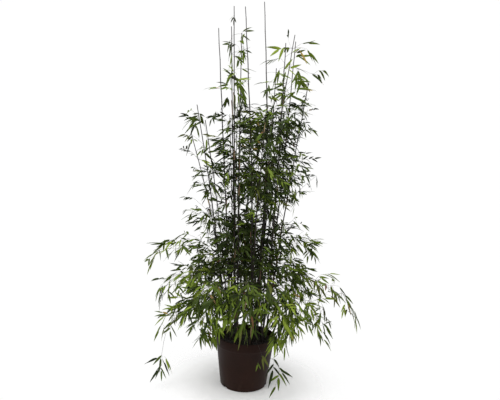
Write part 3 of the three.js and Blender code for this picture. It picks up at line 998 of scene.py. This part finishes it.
LEAF_TONES = {
    "leaf_deep": (0.016, 0.026, 0.005, 1),
    "leaf_dark": (0.031, 0.049, 0.008, 1),
    "leaf_mid": (0.063, 0.096, 0.011, 1),
    "leaf_fresh": (0.106, 0.154, 0.016, 1),
    "leaf_bright": (0.172, 0.230, 0.026, 1),
    "leaf_olive": (0.092, 0.104, 0.022, 1),
    "leaf_yellow": (0.260, 0.190, 0.050, 1),
    "leaf_straw": (0.360, 0.240, 0.110, 1),
    "leaf_brown": (0.110, 0.055, 0.026, 1),
}
# The tone of each spray is drawn from these shares of the deep, dark, mid, fresh, bright and olive greens,
# and still falls at random within each mass. The inner sprays of the column, waist and clump mostly take
# deep and dark greens, which is painted shade for the inside of the clump. The outer crown and skirt mostly
# take fresh and bright greens, which is painted light.
SPRAY_TONES = {
    "crown": (0.01, 0.09, 0.36, 0.36, 0.13, 0.05),
    "column": (0.26, 0.33, 0.24, 0.11, 0.03, 0.03),
    "waist": (0.44, 0.33, 0.16, 0.05, 0.01, 0.01),
    "shoulder": (0.14, 0.26, 0.30, 0.20, 0.06, 0.04),
    "shoot": (0.04, 0.18, 0.38, 0.27, 0.09, 0.04),
    "skirt": (0.01, 0.08, 0.29, 0.36, 0.19, 0.07),
    "skirt_front": (0.12, 0.20, 0.28, 0.24, 0.12, 0.04),
    "dangle": (0.05, 0.25, 0.42, 0.22, 0.04, 0.02),
    # The sprays that hang over the pot take only mid, fresh, bright and olive greens. This is painted light
    # on leaves that hang in the plant's shade.
    "dangle_over_pot": (0.00, 0.00, 0.20, 0.30, 0.20, 0.30),
    "clump": (0.42, 0.33, 0.17, 0.05, 0.01, 0.02),
    "sprig": (0.30, 0.40, 0.30, 0.00, 0.00, 0.00),
}
DEAD_LEAF_SHARE = 0.008
BROWN_TIP_SHARE = 0.04

leaf_finishes = []
for tone, colour in LEAF_TONES.items():
    finish, shader = new_finish(tone, Base_Color=colour, Roughness=0.54, Specular_IOR_Level=0.10)
    leaf_finishes.append(finish)
BROWN_INDEX = len(leaf_finishes) - 1
FIRST_DEAD = BROWN_INDEX - 2


def blade_half_width(share):
    """How wide a leaf is at a share of its length: widest near its base, with a long point."""
    return 0.5 * math.sin(math.pi * share ** WIDEST_AT) ** BLUNTNESS


bpy.ops.object.select_all(action="DESELECT")
bpy.ops.mesh.primitive_grid_add(x_subdivisions=2, y_subdivisions=len(LEAF_STATIONS) - 1, size=2)
blade = bpy.context.object
for corner in blade.data.vertices:
    row_of_corner = round((corner.co.y + 1) / 2 * (len(LEAF_STATIONS) - 1))
    share = LEAF_STATIONS[row_of_corner]
    across = corner.co.x * blade_half_width(share)
    corner.co = (across, share, LEAF_FOLD * abs(across))
bpy.ops.object.mode_set(mode="EDIT")
bpy.ops.mesh.select_all(action="SELECT")
bpy.ops.mesh.remove_doubles(threshold=0.0005)
bpy.ops.mesh.select_all(action="SELECT")
bpy.ops.mesh.normals_make_consistent(inside=False)
bpy.ops.object.mode_set(mode="OBJECT")
blade_corners = np.array([v.co for v in blade.data.vertices])
blade_faces = [tuple(p.vertices) for p in blade.data.polygons]
tip_faces = [blade_corners[list(f)][:, 1].mean() > TIP_FROM for f in blade_faces]
bpy.data.objects.remove(blade)


def leaf_corners(base, way, face, length, width, droop, twist):
    """The corners of one leaf. It leaves its base that way, faces that way, and droops and twists."""
    side = unit(np.cross(way, face))
    face = np.cross(side, way)
    u, s, h = blade_corners.T
    turn = twist * s
    across = np.outer(u * np.cos(turn) - h * np.sin(turn), side)
    up = np.outer(u * np.sin(turn) + h * np.cos(turn), face)
    run = np.outer(s * length, way)
    fall = np.outer(droop * length * s * s, (0, 0, -1))
    return base + run + fall + (across + up) * width


def allowed(corners):
    """Whether a leaf stays in the plant's box and out of the pot."""
    if (corners < low_limit).any() or (corners > high_limit).any():
        return False
    near_axis = np.hypot(corners[:, 0], corners[:, 1]) < POT_CLEAR_RADIUS
    return not (near_axis & (corners[:, 2] < POT_CLEAR_HEIGHT)).any()


def grow_spray(start, twig_way, mass):
    """The leaves of one spray with their tones, and the end of the twig that they sit on."""
    hang = of_mass(HANG, mass) * dice.uniform(*HANGS)
    loose = dice.normal(0, LOOSENESS, 3)
    axis = unit(twig_way * (1.0 - YIELDING * hang) + loose + np.array([0, 0, -1.0]) * hang)
    axis[2] = min(axis[2], STEEPEST_RISE)
    axis = unit(axis)
    outward = unit(np.array([start[0], start[1], 0.0]) + dice.normal(0, 0.05, 3))
    facing = unit(outward * FACING_OUT + np.array([0, 0, FACING_UP]) + dice.normal(0, FACING_SCATTER, 3))
    side = unit(np.cross(axis, facing))
    fewest, most = of_mass(LEAVES_PER_SPRAY, mass)
    number = dice.integers(fewest, most + 1)
    tone = dice.choice(FIRST_DEAD, p=of_mass(SPRAY_TONES, mass))
    hand = dice.choice([-1, 1])
    comb = dice.uniform() < COMB_SHARE
    splay = dice.uniform(SPLAY_LEAST, SPLAY_MOST)
    length_of_spray = LEAF_LENGTH * of_mass(LEAF_SIZE, mass) * dice.uniform(*SPRAY_LENGTHS)
    blades = []
    for i in range(number):
        turn_side = hand if comb else hand * (-1) ** i
        last = i == number - 1
        angle = turn_side * (LAST_SPLAY if last else 1.0) * splay * dice.uniform(*SPLAYS)
        way = unit(axis * math.cos(angle) + side * math.sin(angle) + dice.normal(0, LEAF_SCATTER, 3))
        base = start + axis * LEAF_STEP * (i + FIRST_LEAF_AT)
        length = length_of_spray * dice.uniform(*LEAF_LENGTHS)
        width = LEAF_WIDTH * dice.uniform(*LEAF_WIDTHS) * (length / LEAF_LENGTH) ** WIDTH_POWER
        droop = dice.uniform(*DROOP)
        face = facing + dice.normal(0, LEAF_TURN, 3)
        corners = leaf_corners(base, way, face, length, width, droop, dice.normal(0, LEAF_TWIST))
        if allowed(corners):
            dead = dice.uniform() < DEAD_LEAF_SHARE
            leaf_tone = dice.integers(FIRST_DEAD, BROWN_INDEX + 1) if dead else tone
            blades.append((corners, leaf_tone, dice.uniform() < BROWN_TIP_SHARE))
    return blades, start + axis * LEAF_STEP * (number - 1 + FIRST_LEAF_AT)


def leaf_piece(name, blades):
    """One joined piece of leaves, each with its spray's colour."""
    corners = np.concatenate([leaf[0] for leaf in blades])
    size = len(blade_corners)
    faces = []
    tones = []
    for i, (_, tone, brown_tip) in enumerate(blades):
        faces.extend(tuple(i * size + c for c in face) for face in blade_faces)
        tones.extend(BROWN_INDEX if brown_tip and tip else tone for tip in tip_faces)
    piece = joined_piece(name, corners, faces)
    for finish in leaf_finishes:
        piece.data.materials.append(finish)
    piece.data.polygons.foreach_set("material_index", np.array(tones, np.int32))
    piece.data.polygons.foreach_set("use_smooth", np.ones(len(faces), bool))
    return piece


for mass in [*MASSES, "clump", "sprig", "shoot_tip"]:
    grown_leaves = []
    twig_lines = twig_runs[mass]
    for start, way in sprays[mass]:
        blades, twig_end = grow_spray(start, way, mass)
        if blades:
            grown_leaves.extend(blades)
            twig_lines.append(([start, twig_end], [TWIG_RADIUS, TWIG_RADIUS * 0.7]))
    leaves = leaf_piece("leaves_" + mass, grown_leaves)
    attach(leaves, "root")
    if mass in MASSES:
        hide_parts(mass)

    twigs = tubes("twigs_" + mass, twig_lines)
    twigs.data.materials.append(twig_bark)
    only(twigs)
    bpy.ops.object.shade_smooth()
    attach(twigs, "root")
